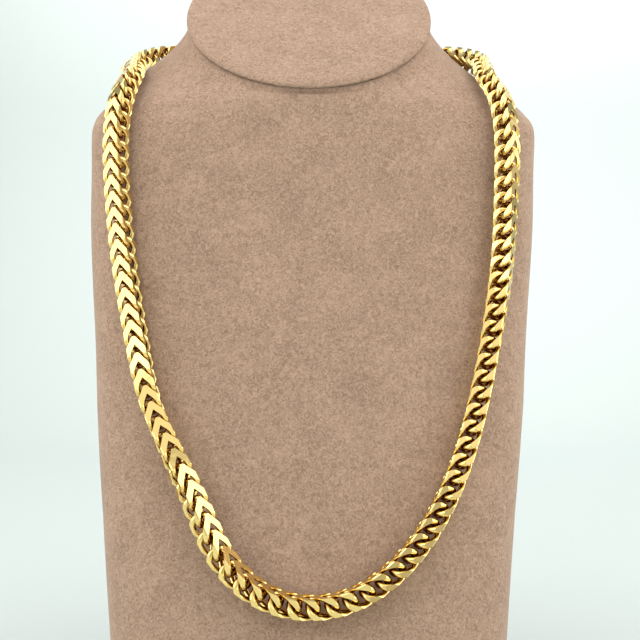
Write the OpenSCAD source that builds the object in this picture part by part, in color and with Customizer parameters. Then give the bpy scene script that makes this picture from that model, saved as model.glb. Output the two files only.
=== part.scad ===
// Franco chain of square section, laid round a neck bust. Millimetres, +Z up.
// The bust's front faces -Y and the chain rests on it as a closed loop.

/* [Chain] */
// Width of the chain across two opposite faces
chain_w = 8.2; // [6:0.1:9]
// Thickness of the wire of a link, as a part of the chain's width
wire = 0.34; // [0.28:0.01:0.35]
// Number of links in the whole loop
links = 106; // [98:2:108]

/* [Clasp] */
// Length of the clasp's middle bar
clasp_bar = 18; // [12:1:24]
// Outside width of the two square end cups
cup_w = 10.2; // [9.8:0.1:11]
// Inside width of the end cups, which take the last links
cup_bore = 8.8; // [8.6:0.1:9]
// Depth of the end cups' sockets
cup_deep = 3.5; // [2:0.5:5]
// Thickness of the plate that closes each cup
cup_plate = 2.5; // [1.5:0.5:3]

/* [Bust] */
// Width of the bust's shoulders
shoulder_w = 198.6; // [192:0.2:204]
// Depth from the lowest chain point's plane to the bust's back
bust_back = 146; // [140:1:150]

/* [Hidden] */

// Depth of the middle of the whole part, which is put over the origin
middle_y = 73.8;

// Sections of the bust, from the table up to the neck cap. Depths run along Y.
// A section tilts with depth, so that the last one is the slanted cap.
// height, half width, front depth, back depth, squareness, tilt
bust_rows = [
  [0, 78, -6, 0, 4.0, 0],
  [50, 83, 7, 0, 4.0, 0],
  [100, 88, 22, 0, 4.0, 0],
  [150, 92, 37, 0, 3.9, 0],
  [200, 97, 52, 0, 4.0, 0],
  [230, 98.5, 59.5, 0, 3.8, 0],
  [244, 99.3, 62.4, -0.5, 3.4, 0.06],
  [250, 98.2, 63.2, -1, 3.2, 0.12],
  [255, 94.5, 63.8, -1.5, 3.0, 0.18],
  [262, 85.8, 64.4, -2.5, 3.0, 0.28],
  [270, 75.6, 64.9, -4, 3.0, 0.43],
  [279, 64, 65.3, -5.5, 2.8, 0.63],
  [288, 56.8, 65.6, -6, 2.4, 0.83],
  [298, 55, 66, -5, 2.0, 1.04]
];

// Heights of the bust's rings, and the angles of its points round the back and
// the front
ring_heights = [0, 70, 135, 190, 225, 240, 249, 256, 263, 271, 280, 289, 298];
back_angles = [0, 12, 22, 33, 48, 68, 90, 112, 132, 147, 158, 168];
front_angles = [180, 194, 201, 207, 213, 220, 230, 250, 270, 290, 310, 320, 327, 333, 339, 346];

// Anchors of the chain's route on the bust, from the nape down the left side,
// along the bottom, up the right side and round the back of the neck.
// height, angle round the bust, stand-off, roll of the chevron face
anchors = [
  [267, 90, 0.4, 90],
  [269, 118, 2.4, 90],
  [271.5, 139, 5, 80],
  [271.5, 153.5, 2.8, 60],
  [270.5, 164.5, 2, 24],
  [269, 177, 3, -5],
  [270, 188.5, 0.6, -23],
  [262, 198, 2.8, -17],
  [241.5, 203.5, 2.6, -13],
  [212, 206.5, 0.4, -9],
  [181, 210.5, 0.6, -5],
  [152.5, 215.5, 0.6, 1],
  [127, 220.5, 1, 10],
  [106.5, 228, 0.8, 22],
  [88, 235.5, 1, 34],
  [71.5, 241, 1, 46],
  [59, 249, 0.8, 57],
  [51.5, 260, 0.8, 67],
  [50, 274, 0.8, 72],
  [55, 287, 1, 76],
  [66.5, 298.5, 0.8, 81],
  [83.5, 308, 1.2, 90],
  [105, 315.5, 0.8, 101],
  [129.5, 321.5, 0.8, 113],
  [157.5, 327, 0.8, 124],
  [186.5, 331.5, 0.8, 137],
  [215, 334.5, 0.6, 150],
  [240, 337, 2.6, 155],
  [259, 341.5, 3, 157],
  [269, 349.5, 0.4, 154],
  [269.5, 358, 1.8, 156],
  [270, 369.5, 2.2, 158],
  [271.5, 383.5, 3.4, 180],
  [271.5, 401, 5, 180],
  [269, 422, 2.4, 180]
];

// Half of one wire ring of a link, for a chain one unit wide and with z in
// pitches. The out columns point from the wire to the face that is filed flat.
// x, y, z, out_x, out_y, out_z
ring_rows = [
  [0.00, 0.34, -0.66, 0, 1,   -0.40],
  [0.00, 0.41, -0.23, 0, 1,   0],
  [0.54, 0.42, 0.34,  1, 1,   0.1],
  [0.23, 0.06, 0.78,  0, 0.1, 1]
];
ring_sides = 5;
design_pitch = 0.87;
snap = 0.05;

function unit(v) = v / norm(v);
function turned(v) = [v.x, -v.y, -v.z];

// Bust surface
last_row = len(bust_rows) - 1;
function full_row(r) = [r[0], r[1] * shoulder_w / 198.6, r[2], bust_back + r[3], r[4], r[5]];
rows = [for (r = bust_rows) full_row(r)];
function row_slope(i) =
  let (a = max(i - 1, 0), b = min(i + 1, last_row))
  (rows[b] - rows[a]) / (rows[b][0] - rows[a][0]);
function row_index(z, i = 0) =
  i >= last_row - 1 || z < rows[i + 1][0] ? i : row_index(z, i + 1);
function row_at(z) =
  let (i = row_index(z), h = rows[i + 1][0] - rows[i][0], t = (z - rows[i][0]) / h)
  rows[i] * (2 * pow(t, 3) - 3 * t * t + 1)
  + row_slope(i) * h * (pow(t, 3) - 2 * t * t + t)
  + rows[i + 1] * (3 * t * t - 2 * pow(t, 3))
  + row_slope(i + 1) * h * (pow(t, 3) - t * t);
function skin(z, angle) =
  let (
    r = row_at(z),
    half_d = (r[3] - r[2]) / 2,
    mid = (r[3] + r[2]) / 2,
    c = cos(angle),
    s = sin(angle),
    reach = pow(pow(abs(c / r[1]), r[4]) + pow(abs(s / half_d), r[4]), -1 / r[4])
  )
  [reach * c, mid + reach * s - middle_y, z + r[5] * reach * s];
function skin_normal(z, angle) =
  unit(cross(
    skin(z, angle + 0.05) - skin(z, angle - 0.05),
    skin(z + 0.05, angle) - skin(z - 0.05, angle)
  ));

// One link: two wire rings side by side, fused along the chevrons' middles
ring_mid = concat(
  [for (r = ring_rows) [r[0], r[1], r[2] * design_pitch]],
  [for (r = ring_rows) turned([r[0], r[1], r[2] * design_pitch])]
);
ring_out = concat(
  [for (r = ring_rows) [r[3], r[4], r[5]]],
  [for (r = ring_rows) turned([r[3], r[4], r[5]])]
);
ring_n = len(ring_mid);
function into_square(q) =
  [q.x < snap ? 0 : min(q.x, 0.5), max(min(q.y, 0.5), -0.5), q.z];
function ring_section(i) =
  let (
    ahead = unit(ring_mid[(i + 1) % ring_n] - ring_mid[i]),
    behind = unit(ring_mid[i] - ring_mid[(i + ring_n - 1) % ring_n]),
    along = unit(ahead + behind),
    out = unit(ring_out[i] - along * (ring_out[i] * along)),
    side = cross(along, out),
    half_cos = max(sqrt((1 + ahead * behind) / 2), 0.6),
    bend = unit(ahead - behind)
  )
  [for (k = [0 : ring_sides - 1])
    let (
      f = 360 * (k + 0.5) / ring_sides,
      w = wire / 2 * (cos(f) * out + sin(f) * side)
    )
    into_square(ring_mid[i] + w + bend * (bend * w) * (1 / half_cos - 1) * 0.6)];
ring_pts = [for (i = [0 : ring_n - 1]) each ring_section(i)];
off_middle = [for (j = [0 : len(ring_pts) - 1]) if (ring_pts[j].x > 0) j];
twin = [for (j = [0 : len(ring_pts) - 1])
  ring_pts[j].x > 0 ? len(ring_pts) + search(j, off_middle)[0] : j];
link_pts = concat(ring_pts, [for (j = off_middle) [-ring_pts[j].x, ring_pts[j].y, ring_pts[j].z]]);
ring_faces = [for (i = [0 : ring_n - 1], k = [0 : ring_sides - 1])
  let (
    a0 = i * ring_sides + k,
    a1 = i * ring_sides + (k + 1) % ring_sides,
    b0 = (a0 + ring_sides) % (ring_n * ring_sides),
    b1 = (a1 + ring_sides) % (ring_n * ring_sides)
  )
  if (max(ring_pts[a0].x, ring_pts[a1].x, ring_pts[b0].x, ring_pts[b1].x) > 0)
    each [[a0, b1, b0], [a0, a1, b1]]];
link_faces = concat(
  ring_faces,
  [for (f = ring_faces) [twin[f[0]], twin[f[2]], twin[f[1]]]]
);

// Route: a smooth closed curve through the anchors' neighbourhood
anchor_n = len(anchors);
function reach_below(roll) =
  max([for (v = link_pts) -(v.y * cos(roll) + v.x * sin(roll))]) * chain_w;
route_pts = [for (a = anchors)
  skin(a[0], a[1]) + skin_normal(a[0], a[1]) * (reach_below(a[3]) + a[2])];
route_normals = [for (a = anchors) skin_normal(a[0], a[1])];
function wrap(i) = (i + anchor_n * 2) % anchor_n;
function blend(t) = [
  pow(1 - t, 3) / 6,
  (3 * pow(t, 3) - 6 * t * t + 4) / 6,
  (-3 * pow(t, 3) + 3 * t * t + 3 * t + 1) / 6,
  pow(t, 3) / 6
];
function blend_slope(t) = [
  -pow(1 - t, 2) / 2,
  (9 * t * t - 12 * t) / 6,
  (-9 * t * t + 6 * t + 3) / 6,
  t * t / 2
];
function on_spline(list, u, weights) =
  let (i = floor(u), b = weights)
  list[wrap(i - 1)] * b[0] + list[wrap(i)] * b[1]
  + list[wrap(i + 1)] * b[2] + list[wrap(i + 2)] * b[3];
function route_at(u) = on_spline(route_pts, u, blend(u - floor(u)));
function travel_at(u) = unit(on_spline(route_pts, u, blend_slope(u - floor(u))));
function roll_row(i) = anchors[min(max(i, 0), anchor_n - 1)][3];
function roll_at(u) =
  let (i = floor(u), b = blend(u - floor(u)))
  roll_row(i - 1) * b[0] + roll_row(i) * b[1] + roll_row(i + 1) * b[2] + roll_row(i + 2) * b[3];

// Distances along the route, to space the links evenly
steps = 16 * anchor_n;
step_pts = [for (i = [0 : steps]) route_at(i / 16)];
step_len = [for (i = [0 : steps - 1]) norm(step_pts[i + 1] - step_pts[i])];
step_sum = [for (i = 0, s = 0; i <= steps; s = s + (i < steps ? step_len[i] : 0), i = i + 1) s];
along_to_u = [for (i = [0 : steps]) [step_sum[i], i / 16]];
route_len = step_sum[steps];
link_half = max([for (v = link_pts) v.z]) * chain_w;
first_at = clasp_bar / 2 + cup_plate + link_half + 0.3;
pitch = (route_len - 2 * first_at) / (links - 1);

// Frame at a place on the route: x to the inner side, y out, z along the chain
function frame_at(u, roll) =
  let (
    z = travel_at(u),
    n = on_spline(route_normals, u, blend(u - floor(u))),
    out = unit(n - z * (n * z)),
    inner = cross(out, z),
    y = out * cos(roll) + inner * sin(roll),
    x = cross(y, z),
    p = route_at(u)
  )
  [[x.x, y.x, z.x, p.x], [x.y, y.y, z.y, p.y], [x.z, y.z, z.z, p.z], [0, 0, 0, 1]];
function link_u(k) = lookup(first_at + k * pitch, along_to_u);

// Bust rings as points, bottom first
ring_angles = concat(back_angles, front_angles);
bust_n = len(ring_angles);
bust_pts = [for (z = ring_heights) each [for (a = ring_angles) skin(z, a)]];
bust_faces = concat(
  [[for (j = [0 : bust_n - 1]) j]],
  [for (i = [0 : len(ring_heights) - 2], j = [0 : bust_n - 1])
    let (
      a = i * bust_n + j,
      b = i * bust_n + (j + 1) % bust_n
    )
    each [[a, a + bust_n, b], [b, a + bust_n, b + bust_n]]],
  [[for (j = [bust_n - 1 : -1 : 0]) (len(ring_heights) - 1) * bust_n + j]]
);

module chain_link(k) {
  u = link_u(k);
  multmatrix(frame_at(u, roll_at(u)))
    scale(chain_w)
      polyhedron(link_pts, link_faces, convexity = 4);
}

module chain_left() {
  color("gold")
    for (k = [0 : links / 2 - 1])
      chain_link(k);
}

module chain_right() {
  color("gold")
    for (k = [links / 2 : links - 1])
      chain_link(k);
}

// An end cup with its mouth toward +Z, its socket's floor at z = 0
module end_cup() {
  difference() {
    translate([-cup_w / 2, -cup_w / 2, -cup_plate])
      cube([cup_w, cup_w, cup_plate + cup_deep]);
    translate([-cup_bore / 2, -cup_bore / 2, 0])
      cube([cup_bore, cup_bore, cup_deep + 1]);
  }
}

module clasp() {
  first_u = link_u(0);
  last_u = link_u(links - 1);
  color("gold")
    union() {
      multmatrix(frame_at(first_u, roll_at(first_u)))
        translate([0, 0, -link_half - 0.3])
          end_cup();
      multmatrix(frame_at(last_u, roll_at(last_u)))
        translate([0, 0, link_half + 0.3])
          mirror([0, 0, 1])
            end_cup();
      multmatrix(frame_at(0, 0))
        translate([-cup_w / 2 + 0.5, -cup_w / 2 + 0.5, -clasp_bar / 2 - 1.2])
          cube([cup_w - 1, cup_w - 1, clasp_bar + 2.4]);
    }
}

module neck_bust() {
  color("tan")
    polyhedron(bust_pts, bust_faces, convexity = 6);
}

chain_left();
chain_right();
clasp();
neck_bust();
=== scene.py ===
"""Looks of a square franco chain laid round a suede-covered neck bust.

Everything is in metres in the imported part's frame: +Z up, the bust's front
faces -Y. The route of the chain and the bust's surface follow the same tables
and functions as the CAD source, which are in millimetres.
"""

import logging
import math
from collections.abc import Callable
from dataclasses import dataclass
from enum import Enum

import bmesh
import bpy
import numpy as np
from mathutils import Matrix, Vector

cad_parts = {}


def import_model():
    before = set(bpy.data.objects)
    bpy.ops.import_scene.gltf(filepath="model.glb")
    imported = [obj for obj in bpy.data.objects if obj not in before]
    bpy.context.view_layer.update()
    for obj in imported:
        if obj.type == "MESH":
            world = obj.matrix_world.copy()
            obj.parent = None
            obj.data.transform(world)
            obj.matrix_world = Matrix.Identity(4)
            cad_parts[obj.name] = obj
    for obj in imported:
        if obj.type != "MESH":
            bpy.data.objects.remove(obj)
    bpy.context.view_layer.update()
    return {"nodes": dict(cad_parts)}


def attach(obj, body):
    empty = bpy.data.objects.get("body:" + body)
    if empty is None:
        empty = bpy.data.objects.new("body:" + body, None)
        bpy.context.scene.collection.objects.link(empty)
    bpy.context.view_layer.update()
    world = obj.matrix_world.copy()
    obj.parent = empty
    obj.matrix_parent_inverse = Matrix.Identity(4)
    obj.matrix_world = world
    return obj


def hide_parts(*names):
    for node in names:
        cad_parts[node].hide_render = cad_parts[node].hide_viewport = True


LOG = logging.getLogger("franco_chain")
MM = 0.001
# Distances under which a cut or a merge takes vertices as one place.
CUT_SLACK = 1e-6
MERGE_SLACK = 1e-5


@dataclass(frozen=True)
class BustRow:
    """One section of the bust, in millimetres.

    Attributes:
        height: Height of the section's middle above the table.
        half_width: Half of its width.
        front: Depth of its front.
        back: Depth of its back.
        square: Exponent of its superellipse outline.
        tilt: Rise per millimetre of depth.
    """

    height: float
    half_width: float
    front: float
    back: float
    square: float
    tilt: float


BUST_ROWS = (
    BustRow(0, 78, -6, 146, 4.0, 0),
    BustRow(50, 83, 7, 146, 4.0, 0),
    BustRow(100, 88, 22, 146, 4.0, 0),
    BustRow(150, 92, 37, 146, 3.9, 0),
    BustRow(200, 97, 52, 146, 4.0, 0),
    BustRow(230, 98.5, 59.5, 146, 3.8, 0),
    BustRow(244, 99.3, 62.4, 145.5, 3.4, 0.06),
    BustRow(250, 98.2, 63.2, 145, 3.2, 0.12),
    BustRow(255, 94.5, 63.8, 144.5, 3.0, 0.18),
    BustRow(262, 85.8, 64.4, 143.5, 3.0, 0.28),
    BustRow(270, 75.6, 64.9, 142, 3.0, 0.43),
    BustRow(279, 64, 65.3, 140.5, 2.8, 0.63),
    BustRow(288, 56.8, 65.6, 140, 2.4, 0.83),
    BustRow(298, 55, 66, 141, 2.0, 1.04),
)
MIDDLE_Y = 73.8


@dataclass(frozen=True)
class Anchor:
    """One anchor of the chain's route on the bust.

    Attributes:
        height: Section height of the anchor, in millimetres.
        angle: Angle round the bust, in degrees.
        stand_off: Distance from the bust's surface to the chain, in millimetres.
        roll: Turn of the chevron face from the outward direction, in degrees.
    """

    height: float
    angle: float
    stand_off: float
    roll: float


ANCHORS = (
    Anchor(267, 90, 0.4, 90),
    Anchor(269, 118, 2.4, 90),
    Anchor(271.5, 139, 5, 80),
    Anchor(271.5, 153.5, 2.8, 60),
    Anchor(270.5, 164.5, 2, 24),
    Anchor(269, 177, 3, -5),
    Anchor(270, 188.5, 0.6, -23),
    Anchor(262, 198, 2.8, -17),
    Anchor(241.5, 203.5, 2.6, -13),
    Anchor(212, 206.5, 0.4, -9),
    Anchor(181, 210.5, 0.6, -5),
    Anchor(152.5, 215.5, 0.6, 1),
    Anchor(127, 220.5, 1, 10),
    Anchor(106.5, 228, 0.8, 22),
    Anchor(88, 235.5, 1, 34),
    Anchor(71.5, 241, 1, 46),
    Anchor(59, 249, 0.8, 57),
    Anchor(51.5, 260, 0.8, 67),
    Anchor(50, 274, 0.8, 72),
    Anchor(55, 287, 1, 76),
    Anchor(66.5, 298.5, 0.8, 81),
    Anchor(83.5, 308, 1.2, 90),
    Anchor(105, 315.5, 0.8, 101),
    Anchor(129.5, 321.5, 0.8, 113),
    Anchor(157.5, 327, 0.8, 124),
    Anchor(186.5, 331.5, 0.8, 137),
    Anchor(215, 334.5, 0.6, 150),
    Anchor(240, 337, 2.6, 155),
    Anchor(259, 341.5, 3, 157),
    Anchor(269, 349.5, 0.4, 154),
    Anchor(269.5, 358, 1.8, 156),
    Anchor(270, 369.5, 2.2, 158),
    Anchor(271.5, 383.5, 3.4, 180),
    Anchor(271.5, 401, 5, 180),
    Anchor(269, 422, 2.4, 180),
)


@dataclass(frozen=True)
class ChainSize:
    """Sizes of the chain and its clasp, in millimetres."""

    width: float = 8.2
    links: int = 106
    clasp_bar: float = 18.0
    cup_plate: float = 2.5
    end_gap: float = 0.3


class BustSkin:
    """The bust's surface as a function of section height and angle."""

    def __init__(self, rows: tuple[BustRow, ...]) -> None:
        """Reads the table of sections.

        Args:
            rows: The bust's sections, from the bottom up.
        """
        self.heights = np.array([r.height for r in rows], float)
        self.rows = np.array(
            [
                (r.height, r.half_width, r.front, r.back, r.square, r.tilt)
                for r in rows
            ],
            float,
        )
        ahead = np.vstack([self.rows[1:], self.rows[-1:]])
        behind = np.vstack([self.rows[:1], self.rows[:-1]])
        self.slopes = (ahead - behind) / (ahead[:, :1] - behind[:, :1])

    @property
    def top(self) -> float:
        """Height of the topmost section."""
        return float(self.heights[-1])

    def section(self, height: np.ndarray) -> np.ndarray:
        """Interpolates the table of sections.

        Args:
            height: Section heights.

        Returns:
            One row of section values for each height.
        """
        last = len(self.heights) - 2
        i = np.clip(np.searchsorted(self.heights, height, side="right") - 1, 0, last)
        h = (self.heights[i + 1] - self.heights[i])[:, None]
        t = (height - self.heights[i])[:, None] / h
        return (
            self.rows[i] * (2 * t**3 - 3 * t**2 + 1)
            + self.slopes[i] * h * (t**3 - 2 * t**2 + t)
            + self.rows[i + 1] * (3 * t**2 - 2 * t**3)
            + self.slopes[i + 1] * h * (t**3 - t**2)
        )

    def points(self, height: np.ndarray, angle: np.ndarray) -> np.ndarray:
        """Points of the surface.

        Args:
            height: Section heights in millimetres.
            angle: Angles round the bust in degrees, of the same length.

        Returns:
            Points in millimetres, one row each.
        """
        _, half_w, front, back, power, tilt = self.section(height).T
        half_d = (back - front) / 2
        mid = (back + front) / 2
        c, s = np.cos(np.radians(angle)), np.sin(np.radians(angle))
        reach = (np.abs(c / half_w) ** power + np.abs(s / half_d) ** power) ** (
            -1 / power
        )
        return np.stack(
            [reach * c, mid + reach * s - MIDDLE_Y, height + tilt * reach * s], 1
        )

    def normals(self, height: np.ndarray, angle: np.ndarray) -> np.ndarray:
        """Outward unit normals of the surface.

        Args:
            height: Section heights in millimetres.
            angle: Angles round the bust in degrees.

        Returns:
            Unit vectors, one row each.
        """
        step = 0.05  # Degrees and millimetres to each side.
        across = self.points(height, angle + step) - self.points(height, angle - step)
        along = self.points(height + step, angle) - self.points(height - step, angle)
        normal = np.cross(across, along)
        return normal / np.linalg.norm(normal, axis=1)[:, None]


class Route:
    """The chain's smooth closed route and the frames of its links.

    The route is a closed uniform cubic B-spline over the lifted anchors.
    """

    # Samples between two anchors that the route's length is measured on.
    SAMPLES = 16

    def __init__(
        self,
        skin: BustSkin,
        anchors: tuple[Anchor, ...],
        low: "CadLink",
        size: ChainSize,
    ) -> None:
        """Lays the route over the anchors.

        Args:
            skin: The bust's surface.
            anchors: The anchors, from the nape round to the nape.
            low: The CAD's link, which sets how high the chain rests.
            size: Sizes of the chain and its clasp.
        """
        heights = np.array([a.height for a in anchors], float)
        angles = np.array([a.angle for a in anchors], float)
        self.rolls = np.array([a.roll for a in anchors], float)
        self.count = len(anchors)
        self.normals = skin.normals(heights, angles)
        reach = np.array([low.reach_below(a.roll) * size.width for a in anchors])
        off = reach + np.array([a.stand_off for a in anchors])
        self.control = skin.points(heights, angles) + self.normals * off[:, None]
        self.size = size
        steps = np.arange(self.SAMPLES * self.count + 1) / self.SAMPLES
        dense = np.array([self._mix(self.control, u, self._blend) for u in steps])
        gaps = np.linalg.norm(np.diff(dense, axis=0), axis=1)
        self.along = np.concatenate([[0.0], np.cumsum(gaps)])
        self.steps = steps
        self.first = (
            size.clasp_bar / 2 + size.cup_plate + low.top * size.width + size.end_gap
        )
        self.pitch = (self.along[-1] - 2 * self.first) / (size.links - 1)

    @staticmethod
    def _blend(t: float) -> tuple[float, ...]:
        """Weights of four neighbouring anchors.

        Args:
            t: Share of the span between the middle two.

        Returns:
            The four weights.
        """
        return (
            (1 - t) ** 3 / 6,
            (3 * t**3 - 6 * t * t + 4) / 6,
            (-3 * t**3 + 3 * t * t + 3 * t + 1) / 6,
            t**3 / 6,
        )

    @staticmethod
    def _blend_slope(t: float) -> tuple[float, ...]:
        """Slopes of the weights of four neighbouring anchors.

        Args:
            t: Share of the span between the middle two.

        Returns:
            The four slopes.
        """
        return (
            -((1 - t) ** 2) / 2,
            (9 * t * t - 12 * t) / 6,
            (-9 * t * t + 6 * t + 3) / 6,
            t * t / 2,
        )

    def _mix(
        self,
        values: np.ndarray,
        u: float,
        weights: Callable[[float], tuple[float, ...]],
    ) -> np.ndarray:
        """Mixes the values of the closed route's anchors.

        Args:
            values: One row for each anchor.
            u: Place on the route, counted in anchors.
            weights: Function that gives the weights of four neighbours.

        Returns:
            The mixed row.
        """
        i = math.floor(u)
        return sum(
            values[(i + k - 1) % self.count] * w for k, w in enumerate(weights(u - i))
        )

    def _roll(self, u: float) -> float:
        """Roll of a link; the rolls run from end to end and don't close.

        Args:
            u: Place on the route, counted in anchors.

        Returns:
            The roll in degrees.
        """
        i = math.floor(u)
        last = self.count - 1
        return sum(
            self.rolls[min(max(i + k - 1, 0), last)] * w
            for k, w in enumerate(self._blend(u - i))
        )

    def frame(self, u: float, roll: float) -> Matrix:
        """Frame at a place on the route.

        Args:
            u: Place on the route, counted in anchors.
            roll: Turn of the chevron face from the outward direction, in degrees.

        Returns:
            A matrix from link coordinates in millimetres to metres: x to the
            chain's side, y to its chevron face and z along the chain.
        """
        z = self._mix(self.control, u, self._blend_slope)
        z = z / np.linalg.norm(z)
        n = self._mix(self.normals, u, self._blend)
        n = n - z * n.dot(z)
        n = n / np.linalg.norm(n)
        inner = np.cross(n, z)
        a = math.radians(roll)
        y = n * math.cos(a) + inner * math.sin(a)
        x = np.cross(y, z)
        p = self._mix(self.control, u, self._blend)
        grid = np.eye(4)
        grid[:3, :3] = np.stack([x, y, z], 1) * MM
        grid[:3, 3] = p * MM
        return Matrix(grid.tolist())

    def link_frame(self, k: int) -> Matrix:
        """Frame of link k, counted from the nape down the left side.

        Args:
            k: Number of the link, from 0.

        Returns:
            The link's matrix, in metres per millimetre.
        """
        u = float(np.interp(self.first + k * self.pitch, self.along, self.steps))
        return self.frame(u, self._roll(u))


class CadLink:
    """The CAD source's coarse link, needed for the chain's rest height.

    It is for a chain one unit wide.
    """

    # Half of the wire's centre line: x, y, z in pitches, and its outward direction.
    ROWS = (
        (0.00, 0.34, -0.66, 0, 1, -0.40),
        (0.00, 0.41, -0.23, 0, 1, 0),
        (0.54, 0.42, 0.34, 1, 1, 0.1),
        (0.23, 0.06, 0.78, 0, 0.1, 1),
    )
    SIDES = 5
    PITCH = 0.87
    WIRE = 0.34
    # Points nearer than this to the middle plane are drawn onto it.
    SNAP = 0.05
    # Least cosine of half a bend, and the share of its mitre that is kept.
    LEAST_COS = 0.6
    MITRE = 0.6
    HALF = 0.5

    def __init__(self) -> None:
        """Works out the link's vertices."""
        half = np.array([(r[0], r[1], r[2] * self.PITCH) for r in self.ROWS])
        out = np.array([r[3:] for r in self.ROWS], float)
        flip = np.array([1, -1, -1.0])
        mid = np.vstack([half, half * flip])
        outs = np.vstack([out, out * flip])
        count = len(mid)
        points = []
        for i in range(count):
            ahead = self._unit(mid[(i + 1) % count] - mid[i])
            behind = self._unit(mid[i] - mid[i - 1])
            along = self._unit(ahead + behind)
            o = self._unit(outs[i] - along * outs[i].dot(along))
            side = np.cross(along, o)
            half_cos = max(math.sqrt((1 + ahead.dot(behind)) / 2), self.LEAST_COS)
            bend = self._unit(ahead - behind)
            for k in range(self.SIDES):
                f = 2 * math.pi * (k + 0.5) / self.SIDES
                w = self.WIRE / 2 * (math.cos(f) * o + math.sin(f) * side)
                q = mid[i] + w + bend * bend.dot(w) * (1 / half_cos - 1) * self.MITRE
                x = 0.0 if q[0] < self.SNAP else min(q[0], self.HALF)
                y = max(min(q[1], self.HALF), -self.HALF)
                points.append((x, y, q[2]))
        one = np.array(points)
        self.points = np.vstack([one, one * np.array([-1, 1, 1])])

    @staticmethod
    def _unit(v: np.ndarray) -> np.ndarray:
        """The vector v at length 1."""
        return v / np.linalg.norm(v)

    @property
    def top(self) -> float:
        """Half of the link's length, for a chain one unit wide."""
        return float(self.points[:, 2].max())

    def reach_below(self, roll: float) -> float:
        """How far the link reaches toward the bust.

        Args:
            roll: Turn of the chevron face from the outward direction, in degrees.

        Returns:
            The reach for a chain one unit wide.
        """
        a = math.radians(roll)
        side = self.points[:, 1] * math.cos(a) + self.points[:, 0] * math.sin(a)
        return float(-side.min())


@dataclass(frozen=True)
class LinkForm:
    """Shape of a fine link, for a chain one unit wide.

    Attributes:
        apex_x: Side distance of the V's point.
        shoulder_x: Side distance of the V's end.
        shoulder_y: Distance of the V from the chain's middle.
        apex_z: Place of the V's point along the chain, in pitches.
        shoulder_z: Place of the V's end along the chain, in pitches.
        cross_x: Side distance of the link's ends.
        cross_z: Place of the link's ends along the chain, in pitches.
        wire: Thickness of the wire.
        pitch: Distance from one link to the next.
        rings: Number of sections along the wire.
        sides: Number of sides of the wire.
        corner: Width cut off at the chain's four edges.
    """

    apex_x: float = 0.03
    shoulder_x: float = 0.41
    shoulder_y: float = 0.415
    apex_z: float = 0.47
    shoulder_z: float = 0.30
    cross_x: float = 0.235
    cross_z: float = 0.74
    wire: float = 0.305
    pitch: float = 0.88
    rings: int = 56
    sides: int = 16
    corner: float = 0.045


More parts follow.
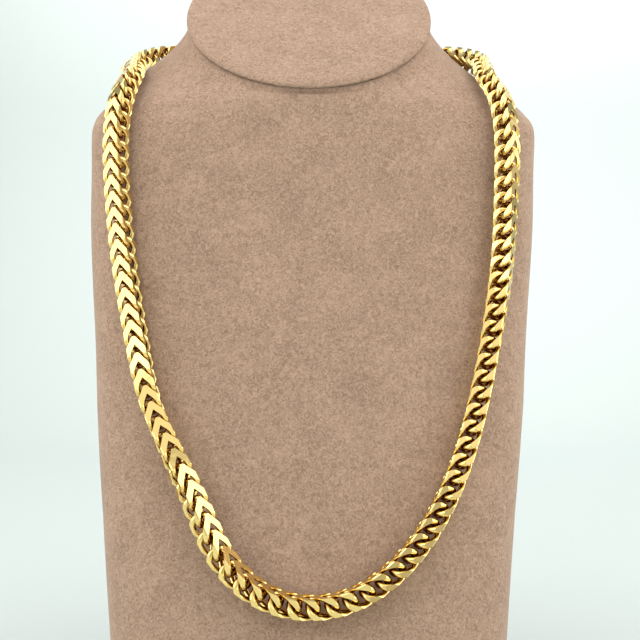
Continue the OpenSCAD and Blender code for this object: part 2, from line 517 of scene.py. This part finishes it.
@dataclass(frozen=True)
class FineLink:
    """A link of two wire rings side by side, filed flat on four faces.

    Attributes:
        form: Its shape.
        half: Distance of the flat faces from the chain's middle.
        sharp: Angle above which an edge is shaded sharp.
    """

    form: LinkForm
    half: float = 0.5
    sharp: float = math.radians(24)

    def _centre_line(self) -> np.ndarray:
        """Closed smooth centre line of the ring on the +x side.

        Returns:
            Points of the line, one row each.
        """
        f = self.form
        p = f.pitch
        knots = np.array(
            [
                (f.apex_x, f.shoulder_y, -f.apex_z * p),
                (f.shoulder_x, f.shoulder_y, f.shoulder_z * p),
                (f.cross_x, 0, f.cross_z * p),
                (f.apex_x, -f.shoulder_y, f.apex_z * p),
                (f.shoulder_x, -f.shoulder_y, -f.shoulder_z * p),
                (f.cross_x, 0, -f.cross_z * p),
            ]
        )
        count = len(knots)
        spans = np.sqrt(np.linalg.norm(np.roll(knots, -1, 0) - knots, axis=1))
        before = np.roll(spans, 1)
        system = np.zeros((count, count))
        right = np.zeros((count, 3))
        for i in range(count):
            system[i, (i - 1) % count] += spans[i]
            system[i, i] += 2 * (before[i] + spans[i])
            system[i, (i + 1) % count] += before[i]
            right[i] = 3 * (
                spans[i] * (knots[i] - knots[i - 1]) / before[i]
                + before[i] * (knots[(i + 1) % count] - knots[i]) / spans[i]
            )
        slopes = np.linalg.solve(system, right)
        ends = np.cumsum(spans)
        starts = ends - spans
        line = []
        for s in np.linspace(0, ends[-1], f.rings, endpoint=False):
            i = int(min(np.searchsorted(ends, s, side="right"), count - 1))
            h = spans[i]
            t = (s - starts[i]) / h
            j = (i + 1) % count
            line.append(
                knots[i] * (2 * t**3 - 3 * t**2 + 1)
                + slopes[i] * h * (t**3 - 2 * t**2 + t)
                + knots[j] * (3 * t**2 - 2 * t**3)
                + slopes[j] * h * (t**3 - t**2)
            )
        return np.array(line)

    def _tube(self, bm: bmesh.types.BMesh) -> None:
        """Sweeps the round wire along the centre line.

        Args:
            bm: The mesh that it is added to.
        """
        f = self.form
        line = self._centre_line()
        count = len(line)
        travel = np.roll(line, -1, 0) - np.roll(line, 1, 0)
        travel /= np.linalg.norm(travel, axis=1)[:, None]
        normal = np.zeros_like(line)
        start = np.array([0, 1.0, 0]) - travel[0] * travel[0][1]
        normal[0] = start / np.linalg.norm(start)
        for i in range(1, count):
            v = normal[i - 1] - travel[i] * normal[i - 1].dot(travel[i])
            normal[i] = v / np.linalg.norm(v)
        v = normal[-1] - travel[0] * normal[-1].dot(travel[0])
        slip = math.atan2(v.dot(np.cross(travel[0], normal[0])), v.dot(normal[0]))
        grid = []
        for i in range(count):
            side = np.cross(travel[i], normal[i])
            row = []
            for k in range(f.sides):
                a = 2 * math.pi * k / f.sides - slip * i / count
                w = (math.cos(a) * normal[i] + math.sin(a) * side) * f.wire / 2
                row.append(bm.verts.new(line[i] + w))
            grid.append(row)
        # A bridge might pair the vertices with a twist, so each face is made here.
        for i in range(count):
            for k in range(f.sides):
                a, b = grid[i], grid[(i + 1) % count]
                j = (k + 1) % f.sides
                bm.faces.new((a[k], b[k], b[j], a[j]))
        bmesh.ops.recalc_face_normals(bm, faces=bm.faces)

    @staticmethod
    def _file_flat(bm: bmesh.types.BMesh, point: Vector, normal: Vector) -> None:
        """Cuts the metal off outside a plane and closes the cut.

        Args:
            bm: The link's mesh.
            point: A point of the plane.
            normal: Direction that the plane faces.
        """
        cut = bmesh.ops.bisect_plane(
            bm,
            geom=[*bm.verts, *bm.edges, *bm.faces],
            dist=CUT_SLACK,
            plane_co=point,
            plane_no=normal,
            clear_outer=True,
        )
        edges = [e for e in cut["geom_cut"] if isinstance(e, bmesh.types.BMEdge)]
        rim = [e for e in edges if e.is_boundary]
        if rim:
            bmesh.ops.triangle_fill(bm, use_beauty=True, edges=rim, normal=normal)

    def mesh(self, scale: float) -> bpy.types.Mesh:
        """Builds the link.

        Args:
            scale: Width of the chain, in the mesh's units.

        Returns:
            A closed mesh with the link's middle at the origin.
        """
        bm = bmesh.new()
        self._tube(bm)
        bmesh.ops.bisect_plane(
            bm,
            geom=[*bm.verts, *bm.edges, *bm.faces],
            dist=CUT_SLACK,
            plane_co=(0, 0, 0),
            plane_no=(-1, 0, 0),
            clear_outer=True,
        )
        bmesh.ops.mirror(
            bm,
            geom=[*bm.verts, *bm.edges, *bm.faces],
            merge_dist=MERGE_SLACK,
            axis="X",
        )
        bmesh.ops.remove_doubles(bm, verts=bm.verts, dist=MERGE_SLACK)
        corner = self.half - self.form.corner / 2
        sides = ((0, 1), (0, -1), (1, 0), (-1, 0))
        corners = ((1, 1), (1, -1), (-1, 1), (-1, -1))
        for x, y in sides + corners:
            reach = corner if x and y else self.half
            point = Vector((x * reach, y * reach, 0))
            self._file_flat(bm, point, Vector((x, y, 0)).normalized())
        bmesh.ops.scale(bm, vec=(scale, scale, scale), verts=bm.verts)
        bmesh.ops.recalc_face_normals(bm, faces=bm.faces)
        for face in bm.faces:
            face.smooth = True
        for edge in bm.edges:
            if len(edge.link_faces) == 2:
                edge.smooth = edge.calc_face_angle() < self.sharp
        mesh = bpy.data.meshes.new("fine_link")
        bm.to_mesh(mesh)
        open_edges = sum(1 for e in bm.edges if len(e.link_faces) != 2)
        LOG.info("link: %d faces, %d open edges", len(bm.faces), open_edges)
        bm.free()
        return mesh


class Slot(Enum):
    """Material slots of the record."""

    GOLD = "gold"
    SUEDE = "suede"


class RampRun(Enum):
    """How a colour ramp runs between its stops."""

    EVEN = "LINEAR"
    SOFT = "EASE"


def object_from(bm: bmesh.types.BMesh, name: str) -> bpy.types.Object:
    """Makes an object of a bmesh and frees the bmesh.

    Args:
        bm: The mesh to use.
        name: The object's name.

    Returns:
        The new object, linked to the scene.
    """
    mesh = bpy.data.meshes.new(name)
    bm.to_mesh(mesh)
    bm.free()
    obj = bpy.data.objects.new(name, mesh)
    bpy.context.scene.collection.objects.link(obj)
    return obj


def finish_piece(
    obj: bpy.types.Object, slot: Slot, material: bpy.types.Material, *nodes: str
) -> None:
    """Gives a piece its material, hides the CAD nodes that it replaces and reports it.

    Args:
        obj: The piece.
        slot: The record's slot, whose name the report gives.
        material: Its material.
        *nodes: CAD nodes that it replaces.
    """
    obj.data.materials.clear()
    obj.data.materials.append(material)
    if nodes:
        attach(obj, "root")
        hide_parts(*nodes)
    count = sum(len(p.vertices) - 2 for p in obj.data.polygons)
    LOG.info("%s: %s, %d triangles", obj.name, slot.value, count)


@dataclass(frozen=True)
class Chain:
    """The fine chain: a run of links for each side of the loop.

    Attributes:
        size: Sizes of the chain.
        route: Route that the links follow.
        form: Shape of a link.
    """

    size: ChainSize
    route: Route
    form: LinkForm

    def _run(
        self, name: str, link: bpy.types.Mesh, numbers: range
    ) -> bpy.types.Object:
        """Lays a run of links along the route as one object.

        Args:
            name: The object's name.
            link: The mesh of one link, in millimetres.
            numbers: Which links to lay.

        Returns:
            The object of all the links. Its attribute for the gold's painted shade in
            the hollows is 0 on the chain's flat faces and 1 at its middle.
        """
        bm = bmesh.new()
        # Depth into the link, which the gold's material turns into painted shade in
        # the hollows.
        recess_shade = bm.verts.layers.float.new("recess_shade")
        half = self.size.width / 2
        for k in numbers:
            start = len(bm.verts)
            bm.from_mesh(link)
            bm.verts.ensure_lookup_table()
            new = bm.verts[start:]
            for v in new:
                v[recess_shade] = 1 - max(abs(v.co.x), abs(v.co.y)) / half
            bmesh.ops.transform(bm, matrix=self.route.link_frame(k), verts=new)
        return object_from(bm, name)

    def build(self) -> tuple[bpy.types.Object, bpy.types.Object]:
        """Builds the chain.

        Returns:
            The objects of the left run and of the right run.
        """
        link = FineLink(self.form).mesh(self.size.width)
        half = self.size.links // 2
        left = self._run("chain_left_links", link, range(half))
        right = self._run("chain_right_links", link, range(half, self.size.links))
        bpy.data.meshes.remove(link)
        return left, right

    def dress(
        self,
        runs: tuple[bpy.types.Object, bpy.types.Object],
        material: bpy.types.Material,
    ) -> None:
        """Dresses the two runs in place of the CAD's halves.

        Args:
            runs: The left run and the right run.
            material: Their material.
        """
        for run, node in zip(runs, ("chain_left", "chain_right")):
            finish_piece(run, Slot.GOLD, material, node)


@dataclass(frozen=True)
class Clasp:
    """The plain clasp at the nape, which keeps its CAD solid.

    Attributes:
        node: The CAD node.
    """

    node: bpy.types.Object

    def dress(self, material: bpy.types.Material) -> None:
        """Gives the CAD solid its material."""
        finish_piece(self.node, Slot.GOLD, material)


@dataclass(frozen=True)
class Fold:
    """A soft hollow, or with a negative depth a swell, of the bust's cover.

    Attributes:
        angle: Angle round the bust, in degrees.
        height: Section height of its middle, in millimetres.
        width: Its half width, in degrees.
        reach: Its half length up the bust, in millimetres.
        depth: Its depth in millimetres.
    """

    angle: float
    height: float
    width: float
    reach: float
    depth: float


@dataclass(frozen=True)
class CapRing:
    """One ring of the slanted cap and the seam under it.

    Attributes:
        inward: Distance inward from the bust's top edge, in millimetres.
        rise: Distance above the top section, in millimetres.
        shade: Share of the seam's shadow colour.
    """

    inward: float
    rise: float
    shade: float = 0


@dataclass(frozen=True)
class Wave:
    """A wave of the cap's seam round the neck.

    Attributes:
        high: Its height, in millimetres.
        count: Number of waves round the neck.
        start: Its start, in degrees.
    """

    high: float
    count: int
    start: float


@dataclass(frozen=True)
class Bust:
    """The fine bust: its covered body and its slanted neck cap.

    Attributes:
        skin: The bust's surface.
        around: Number of vertices round it.
        low_rings: First height, last height and number of the lower rings.
        high_from: Height of the first of the closer rings above them.
        high_rings: Number of the closer rings.
        sharp: Angle above which an edge is shaded sharp.
        cap_rings: Rings of the seam and the cap.
        seam_waves: Unevenness of the seam.
        seam_rise: Rise under which a ring follows the seam's waves.
        left_lean: Sideways shift of the left flank at heights, in millimetres.
        right_lean: The same of the right flank.
        lean_from: Distance from the middle where the shift starts.
        lean_full: Distance from the middle where it is whole.
        folds: Creases beside the neck, a dip under the cap, and a swell under
            each end of the chain that is seen.
    """

    skin: BustSkin
    around: int = 360
    low_rings: tuple[float, float, int] = (0.0, 215.0, 44)
    high_from: float = 217.0
    high_rings: int = 64
    sharp: float = math.radians(50)
    cap_rings: tuple[CapRing, ...] = (
        CapRing(0.2, 0.0),
        CapRing(0.5, 0.0, 1),
        CapRing(2.4, -0.2, 1),
        CapRing(2.4, 0.35, 1),
        CapRing(-0.2, 0.42, 0.9),
        CapRing(-0.5, 0.52),
        CapRing(-0.8, 0.9),
        CapRing(-0.7, 1.4),
        CapRing(0.1, 1.95),
        CapRing(1.5, 2.35),
        CapRing(5.0, 2.5),
        CapRing(14.0, 2.5),
        CapRing(30.0, 2.5),
    )
    seam_waves: tuple[Wave, ...] = (Wave(0.12, 17, 0), Wave(0.1, 41, 60))
    seam_rise: float = 1
    left_lean: tuple[tuple[float, float], ...] = (
        (0, -2.6),
        (30, -2.2),
        (80, -0.8),
        (125, -0.9),
        (170, -0.1),
        (218, 1.3),
        (248, 1.8),
        (257, -0.2),
        (264, -0.5),
        (277, 0),
    )
    right_lean: tuple[tuple[float, float], ...] = (
        (0, -0.9),
        (30, -0.7),
        (80, 0.2),
        (125, 1.9),
        (170, 1.8),
        (218, 1.9),
        (242, 2.4),
        (252, 2.5),
        (257, 4.0),
        (263, 3.7),
        (275, 1.0),
        (300, 0),
    )
    lean_from: float = 72.0
    lean_full: float = 92.0
    folds: tuple[Fold, ...] = (
        Fold(322, 281, 2.4, 16, 0.7),
        Fold(330, 276, 2.4, 14, 0.8),
        Fold(337, 272, 2.4, 12, 0.6),
        Fold(214, 279, 2.4, 12, 0.4),
        Fold(270, 290, 42, 4.5, 1.5),
        Fold(176, 271, 7.5, 7, -1.9),
        Fold(3, 270, 7, 6, -1.0),
    )

    def _heights(self) -> np.ndarray:
        """Section heights of the body's rings, closer together at the top.

        Returns:
            The heights in millimetres.
        """
        low = np.linspace(*self.low_rings)
        high = np.linspace(self.high_from, self.skin.top, self.high_rings)
        return np.concatenate([low, high])

    def _body_ring(self, height: float, angles: np.ndarray) -> np.ndarray:
        """One ring of the body, leaned and folded as in the photograph.

        Args:
            height: Section height in millimetres.
            angles: Angles round the bust in degrees.

        Returns:
            Points in millimetres, one row each.
        """
        pts = self.skin.points(np.full(len(angles), height), angles)
        t = (np.abs(pts[:, 0]) - self.lean_from) / (self.lean_full - self.lean_from)
        t = np.clip(t, 0, 1)
        lean = np.where(
            pts[:, 0] < 0,
            np.interp(pts[:, 2], *np.array(self.left_lean).T),
            np.interp(pts[:, 2], *np.array(self.right_lean).T),
        )
        pts[:, 0] += lean * t * t * (3 - 2 * t)
        out = self.skin.normals(np.full(len(angles), height), angles)
        for fold in self.folds:
            apart = (angles - fold.angle + 180) % 360 - 180
            ridge = np.exp(-((apart / fold.width) ** 2))
            above = (height - fold.height) / fold.reach
            ridge *= fold.depth * math.exp(-(above**2))
            pts -= out * ridge[:, None]
        return pts

    def _cap(self, angles: np.ndarray) -> list[np.ndarray]:
        """Rings of the seam and the cap, from the bust's top edge inward.

        Args:
            angles: Angles round the bust in degrees.

        Returns:
            The points of each ring in millimetres.
        """
        top = self.skin.points(np.full(self.around, self.skin.top), angles)
        middle = top.mean(0)
        spoke = top - middle
        length = np.linalg.norm(spoke, axis=1)[:, None]
        tilt = self.skin.section(np.array([self.skin.top]))[0, -1]
        up = np.array([0, -tilt, 1.0])
        up /= np.linalg.norm(up)
        wave = sum(
            w.high * np.sin(np.radians(angles * w.count + w.start))
            for w in self.seam_waves
        )
        rings = []
        for ring in self.cap_rings:
            pts = middle + spoke * (1 - ring.inward / length) + up * ring.rise
            if ring.rise < self.seam_rise:
                pts += up * wave[:, None]
            rings.append(pts)
        return rings

    def build(self) -> bpy.types.Object:
        """Builds the bust as one closed mesh.

        Returns:
            The bust's object. Its attribute "seam" is 1 in the seam's groove, where it
            paints shadow.
        """
        bm = bmesh.new()
        seam = bm.verts.layers.float.new("seam")
        angles = np.arange(self.around) * 360.0 / self.around
        body = [self._body_ring(height, angles) for height in self._heights()]
        cap = self._cap(angles)
        rings = [
            [bm.verts.new(Vector(p) * MM) for p in ring.tolist()]
            for ring in body + cap
        ]
        # Painted shadow in the seam's groove: each cap ring's share of the dark seam
        # colour.
        for row, ring in zip(rings[len(body) :], self.cap_rings):
            for vert in row:
                vert[seam] = ring.shade
        # A bridge might pair the vertices with a twist, so each face is made here.
        for a, b in zip(rings[:-1], rings[1:]):
            for j in range(self.around):
                k = (j + 1) % self.around
                bm.faces.new((a[j], a[k], b[k], b[j]))
        bm.faces.new(rings[0][::-1])
        bm.faces.new(rings[-1])
        bmesh.ops.recalc_face_normals(bm, faces=bm.faces)
        for face in bm.faces:
            face.smooth = True
        for edge in bm.edges:
            edge.smooth = edge.calc_face_angle() < self.sharp
        return object_from(bm, "bust_covered")

    def dress(self, covered: bpy.types.Object, material: bpy.types.Material) -> None:
        """Dresses the covered bust in place of the CAD's.

        Args:
            covered: The bust's object.
            material: Its material.
        """
        finish_piece(covered, Slot.SUEDE, material, "neck_bust")


@dataclass(frozen=True)
class Stop:
    """One colour of a colour ramp, by place."""

    place: float
    color: tuple[float, float, float, float]


@dataclass(frozen=True)
class Grain:
    """Settings of a noise texture.

    Attributes:
        detail: Number of finer layers.
        roughness: Strength of the finer layers.
        distortion: Warp of the pattern.
        scale: Scale, or None where it comes in from outside.
    """

    detail: float
    roughness: float = 0.5
    distortion: float = 0
    scale: float | None = None

    def add_to(self, tree: bpy.types.NodeTree) -> bpy.types.ShaderNodeTexNoise:
        """Adds the noise texture to a node tree.

        Args:
            tree: The node tree.

        Returns:
            The new node.
        """
        noise = tree.nodes.new("ShaderNodeTexNoise")
        noise.inputs["Detail"].default_value = self.detail
        noise.inputs["Roughness"].default_value = self.roughness
        noise.inputs["Distortion"].default_value = self.distortion
        if self.scale is not None:
            noise.inputs["Scale"].default_value = self.scale
        return noise


@dataclass(frozen=True)
class Relief:
    """A bump that a texture drives.

    Attributes:
        strength: Share of the bump that shows.
        distance: Its height at full strength, in metres.
    """

    strength: float
    distance: float

    def add_to(self, tree: bpy.types.NodeTree) -> bpy.types.ShaderNodeBump:
        """Adds the bump to a node tree.

        Args:
            tree: The node tree.

        Returns:
            The new node.
        """
        bump = tree.nodes.new("ShaderNodeBump")
        bump.inputs["Strength"].default_value = self.strength
        bump.inputs["Distance"].default_value = self.distance
        return bump


def new_material(
    name: str,
) -> tuple[bpy.types.Material, bpy.types.ShaderNodeBsdfPrincipled]:
    """Makes a material.

    Args:
        name: The material's name.

    Returns:
        The material and its shader.
    """
    mat = bpy.data.materials.new(name)
    mat.use_nodes = True
    return mat, mat.node_tree.nodes["Principled BSDF"]


def add_ramp(
    tree: bpy.types.NodeTree, low: Stop, high: Stop, run: RampRun
) -> bpy.types.ShaderNodeValToRGB:
    """Adds a colour ramp of two stops to a node tree.

    Args:
        tree: The node tree.
        low: The first stop.
        high: The second stop.
        run: How the ramp runs between them.

    Returns:
        The new node.
    """
    ramp = tree.nodes.new("ShaderNodeValToRGB")
    ramp.color_ramp.interpolation = run.value
    for element, stop in zip(ramp.color_ramp.elements, (low, high)):
        element.position = stop.place
        element.color = stop.color
    return ramp


def add_attribute(
    tree: bpy.types.NodeTree, name: str
) -> bpy.types.ShaderNodeAttribute:
    """Adds a node that reads an attribute of the mesh.

    Args:
        tree: The node tree.
        name: The attribute's name.

    Returns:
        The new node.
    """
    node = tree.nodes.new("ShaderNodeAttribute")
    node.attribute_name = name
    return node


@dataclass(frozen=True)
class NapGrain:
    """Shader node group: fine grain, nap and mottle of a napped surface.

    Attributes:
        fine: The fine grain, whose scale comes in from outside.
        nap: The nap's light and dark specks.
        mottle: The wide soft patches.
    """

    fine: Grain = Grain(4, 0.6, 0.4)
    nap: Grain = Grain(3, 0.65, 1.6, 640)
    mottle: Grain = Grain(5, 0.62, 0, 58)

    def group(self) -> bpy.types.ShaderNodeTree:
        """Builds the node group.

        Returns:
            The group, with the input Scale and the outputs Fine, Nap and Mottle.
        """
        tree = bpy.data.node_groups.new("nap_grain", "ShaderNodeTree")
        face = tree.interface
        face.new_socket("Scale", in_out="INPUT", socket_type="NodeSocketFloat")
        start = tree.nodes.new("NodeGroupInput")
        end = tree.nodes.new("NodeGroupOutput")
        place = tree.nodes.new("ShaderNodeTexCoord")
        grains = {"Fine": self.fine, "Nap": self.nap, "Mottle": self.mottle}
        for name, grain in grains.items():
            face.new_socket(name, in_out="OUTPUT", socket_type="NodeSocketFloat")
            noise = grain.add_to(tree)
            tree.links.new(place.outputs["Object"], noise.inputs["Vector"])
            tree.links.new(noise.outputs["Fac"], end.inputs[name])
            if grain.scale is None:
                tree.links.new(start.outputs["Scale"], noise.inputs["Scale"])
        return tree


@dataclass(frozen=True)
class PolishedGold:
    """Polished yellow gold, with painted shade that makes it browner in the links'
    hollows.

    Attributes:
        face: Its colour on the chain's flat faces.
        recess_shade: Colour of the painted shade in the hollows.
        roughness: Its roughness.
        wave: Pattern of its slight unevenness.
        relief: Depth of that unevenness.
    """

    face: Stop = Stop(0.07, (0.93, 0.705, 0.265, 1))
    # Colour of the painted shade in the links' hollows.
    recess_shade: Stop = Stop(0.50, (0.25, 0.095, 0.012, 1))
    roughness: float = 0.12
    wave: Grain = Grain(1, scale=260)
    relief: Relief = Relief(0.10, 0.0006)

    def material(self) -> bpy.types.Material:
        """Builds the material.

        Returns:
            The material.
        """
        mat, shader = new_material("polished_gold")
        tree = mat.node_tree
        shader.inputs["Metallic"].default_value = 1
        shader.inputs["Roughness"].default_value = self.roughness
        # Painted shade: the depth into the link darkens the gold towards dark brown in
        # the hollows.
        depth = add_attribute(tree, "recess_shade")
        ramp = add_ramp(tree, self.face, self.recess_shade, RampRun.SOFT)
        place = tree.nodes.new("ShaderNodeTexCoord")
        wave = self.wave.add_to(tree)
        bump = self.relief.add_to(tree)
        tree.links.new(depth.outputs["Fac"], ramp.inputs["Fac"])
        tree.links.new(ramp.outputs["Color"], shader.inputs["Base Color"])
        tree.links.new(place.outputs["Object"], wave.inputs["Vector"])
        tree.links.new(wave.outputs["Fac"], bump.inputs["Height"])
        tree.links.new(bump.outputs["Normal"], shader.inputs["Normal"])
        return mat


@dataclass(frozen=True)
class TaupeSuede:
    """Napped pinkish taupe microsuede, with painted shadow in the cap's seam.

    Attributes:
        dark: The darker colour of the nap.
        light: The lighter colour of the nap.
        seam: Colour of the painted shadow in the seam.
        roughness: Its roughness.
        specular: Its specular level.
        sheen: Strength of the nap's sheen.
        sheen_roughness: Roughness of the sheen.
        sheen_tint: Colour of the sheen.
        mottle_share: Share of the mottle in the mix with the nap.
        fine_scale: Scale of the fine grain.
        relief: Depth of the fine grain.
        grain: Its patterns.
    """

    dark: Stop = Stop(0.375, (0.235, 0.152, 0.103, 1))
    light: Stop = Stop(0.625, (0.425, 0.292, 0.208, 1))
    # Colour of the painted shadow in the seam's groove.
    seam: tuple[float, float, float, float] = (0.06, 0.033, 0.02, 1)
    roughness: float = 0.95
    specular: float = 0.12
    sheen: float = 0.25
    sheen_roughness: float = 0.45
    sheen_tint: tuple[float, float, float, float] = (0.95, 0.82, 0.74, 1)
    mottle_share: float = 0.2
    fine_scale: float = 900
    relief: Relief = Relief(0.35, 0.0004)
    grain: NapGrain = NapGrain()

    def material(self) -> bpy.types.Material:
        """Builds the material.

        Returns:
            The material.
        """
        mat, shader = new_material("taupe_suede")
        tree = mat.node_tree
        shader.inputs["Roughness"].default_value = self.roughness
        shader.inputs["Specular IOR Level"].default_value = self.specular
        shader.inputs["Sheen Weight"].default_value = self.sheen
        shader.inputs["Sheen Roughness"].default_value = self.sheen_roughness
        shader.inputs["Sheen Tint"].default_value = self.sheen_tint
        grain = tree.nodes.new("ShaderNodeGroup")
        grain.node_tree = self.grain.group()
        grain.inputs["Scale"].default_value = self.fine_scale
        mix = tree.nodes.new("ShaderNodeMix")
        mix.data_type = "FLOAT"
        mix.inputs["Factor"].default_value = self.mottle_share
        ramp = add_ramp(tree, self.dark, self.light, RampRun.EVEN)
        bump = self.relief.add_to(tree)
        # The seam attribute mixes in the painted shadow of the seam's groove.
        seam = add_attribute(tree, "seam")
        shadow = tree.nodes.new("ShaderNodeMix")
        shadow.data_type = "RGBA"
        shadow.inputs["B"].default_value = self.seam
        tree.links.new(grain.outputs["Nap"], mix.inputs["A"])
        tree.links.new(grain.outputs["Mottle"], mix.inputs["B"])
        tree.links.new(mix.outputs["Result"], ramp.inputs["Fac"])
        tree.links.new(seam.outputs["Fac"], shadow.inputs["Factor"])
        tree.links.new(ramp.outputs["Color"], shadow.inputs["A"])
        tree.links.new(shadow.outputs["Result"], shader.inputs["Base Color"])
        tree.links.new(grain.outputs["Fine"], bump.inputs["Height"])
        tree.links.new(bump.outputs["Normal"], shader.inputs["Normal"])
        return mat


@dataclass(frozen=True)
class PaleFloor:
    """Plain pale finish of the studio's floor."""

    color: tuple[float, float, float, float] = (0.55, 0.605, 0.59, 1)
    roughness: float = 0.6

    def material(self) -> bpy.types.Material:
        """Builds the material.

        Returns:
            The material.
        """
        mat, shader = new_material("pale_floor")
        shader.inputs["Base Color"].default_value = self.color
        shader.inputs["Roughness"].default_value = self.roughness
        return mat


@dataclass(frozen=True)
class SweepFloor:
    """A floor that sweeps up behind the bust, in metres.

    Attributes:
        half: Half of its width.
        front: Place of its front edge.
        start: Place where the sweep starts.
        radius: Radius of the sweep.
        top: Height of its top edge.
        steps: Number of faces along the sweep.
    """

    half: float = 2.4
    front: float = -1.6
    start: float = 0.9
    radius: float = 0.5
    top: float = 2.6
    steps: int = 12

    @staticmethod
    def _pull(
        bm: bmesh.types.BMesh,
        edge: bmesh.types.BMEdge,
        way: tuple[float, float, float],
    ) -> bmesh.types.BMEdge:
        """Extrudes an edge into a face.

        Args:
            bm: The floor's mesh.
            edge: The edge to extrude.
            way: Where the new edge lies from it.

        Returns:
            The new edge.
        """
        made = bmesh.ops.extrude_edge_only(bm, edges=[edge])["geom"]
        ends = {v for v in made if isinstance(v, bmesh.types.BMVert)}
        bmesh.ops.translate(bm, vec=way, verts=list(ends))
        edges = [e for e in made if isinstance(e, bmesh.types.BMEdge)]
        return next(e for e in edges if set(e.verts) == ends)

    def build(self, material: bpy.types.Material) -> bpy.types.Object:
        """Builds the floor.

        Args:
            material: Its material.

        Returns:
            The floor's object.
        """
        bm = bmesh.new()
        ends = [bm.verts.new((x, self.front, 0)) for x in (-self.half, self.half)]
        edge = self._pull(bm, bm.edges.new(ends), (0, self.start - self.front, 0))
        swept = bmesh.ops.spin(
            bm,
            geom=[edge, *edge.verts],
            axis=(1, 0, 0),
            cent=(0, self.start, self.radius),
            angle=math.pi / 2,
            steps=self.steps,
        )
        edge = next(e for e in swept["geom_last"] if isinstance(e, bmesh.types.BMEdge))
        self._pull(bm, edge, (0, 0, self.top - self.radius))
        bmesh.ops.reverse_faces(bm, faces=bm.faces)
        for face in bm.faces:
            face.smooth = True
        obj = object_from(bm, "floor")
        obj.data.materials.append(material)
        return obj


CHEST = (0, 0, 0.17)


@dataclass(frozen=True)
class Panel:
    """One soft light panel, which the camera doesn't see.

    Attributes:
        name: The light's name.
        place: Its middle, in metres.
        aim: The point that it faces.
        size: Its width and height, in metres.
        watts: Its power.
        color: Its colour.
    """

    name: str
    place: tuple[float, float, float]
    aim: tuple[float, float, float]
    size: tuple[float, float]
    watts: float
    color: tuple[float, float, float] = (1, 1, 0.99)

    def light(self) -> None:
        """Adds the panel to the scene as an area light."""
        light = bpy.data.lights.new(self.name, "AREA")
        light.shape = "RECTANGLE"
        light.size, light.size_y = self.size
        light.energy = self.watts
        light.color = self.color
        obj = bpy.data.objects.new(self.name, light)
        obj.location = self.place
        turn = (Vector(self.aim) - Vector(self.place)).to_track_quat("-Z", "Y")
        obj.rotation_euler = turn.to_euler()
        obj.visible_camera = False
        bpy.context.scene.collection.objects.link(obj)


@dataclass(frozen=True)
class LightTent:
    """The soft panels round the bust and their pale surround.

    Attributes:
        panels: The panels.
        color: Colour of the surround.
        strength: Strength of the surround.
    """

    panels: tuple[Panel, ...] = (
        Panel("left_panel", (-0.62, -0.2, 0.45), CHEST, (1.0, 1.2), 6.6),
        Panel("right_panel", (0.62, -0.2, 0.45), CHEST, (1.0, 1.2), 7.0),
        Panel("top_panel", (0, 0.05, 1.2), CHEST, (1.3, 1.0), 5.4),
        Panel("front_panel", (-0.2, -1.1, 0.9), CHEST, (1.5, 0.8), 2.0),
        Panel("back_wash", (0.35, 0.85, 1.2), (0.3, 1.4, 0.85), (1.8, 0.5), 15),
    )
    color: tuple[float, float, float, float] = (1.0, 0.985, 0.965, 1)
    strength: float = 0.56

    def light(self) -> None:
        """Adds the panels and the surround to the scene."""
        for panel in self.panels:
            panel.light()
        world = bpy.data.worlds.new("surround")
        world.use_nodes = True
        shade = world.node_tree.nodes["Background"]
        shade.inputs["Color"].default_value = self.color
        shade.inputs["Strength"].default_value = self.strength
        bpy.context.scene.world = world
        bpy.context.scene.view_settings.view_transform = "Standard"


@dataclass(frozen=True)
class Viewpoint:
    """The photograph's point of view.

    Attributes:
        eye: Place of the camera, in metres.
        yaw: Its turn to the right.
        lens: Its focal length, in millimetres.
        sensor: Width of its sensor, in millimetres.
        clip: Nearest distance that it sees, in metres.
    """

    eye: tuple[float, float, float] = (-0.0047, -0.523, 0.160)
    yaw: float = math.radians(1.01)
    lens: float = 67.8
    sensor: float = 36
    clip: float = 0.01

    def place(self) -> None:
        """Adds the camera to the scene."""
        data = bpy.data.cameras.new("camera")
        data.lens = self.lens
        data.sensor_width = self.sensor
        data.clip_start = self.clip
        obj = bpy.data.objects.new("camera", data)
        obj.location = self.eye
        obj.rotation_euler = (math.pi / 2, 0, -self.yaw)
        bpy.context.scene.collection.objects.link(obj)
        bpy.context.scene.camera = obj


def main() -> None:
    """Builds the scene."""
    logging.basicConfig(level=logging.INFO)
    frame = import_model()
    size = ChainSize()
    skin = BustSkin(BUST_ROWS)
    route = Route(skin, ANCHORS, CadLink(), size)
    LOG.info("pitch %.3f mm, loop %.1f mm", route.pitch, route.along[-1])
    gold, suede = PolishedGold().material(), TaupeSuede().material()
    chain = Chain(size, route, LinkForm(pitch=route.pitch / size.width))
    chain.dress(chain.build(), gold)
    bust = Bust(skin)
    bust.dress(bust.build(), suede)
    Clasp(frame["nodes"]["clasp"]).dress(gold)
    SweepFloor().build(PaleFloor().material())
    LightTent().light()
    Viewpoint().place()


if __name__ == "__main__":
    main()
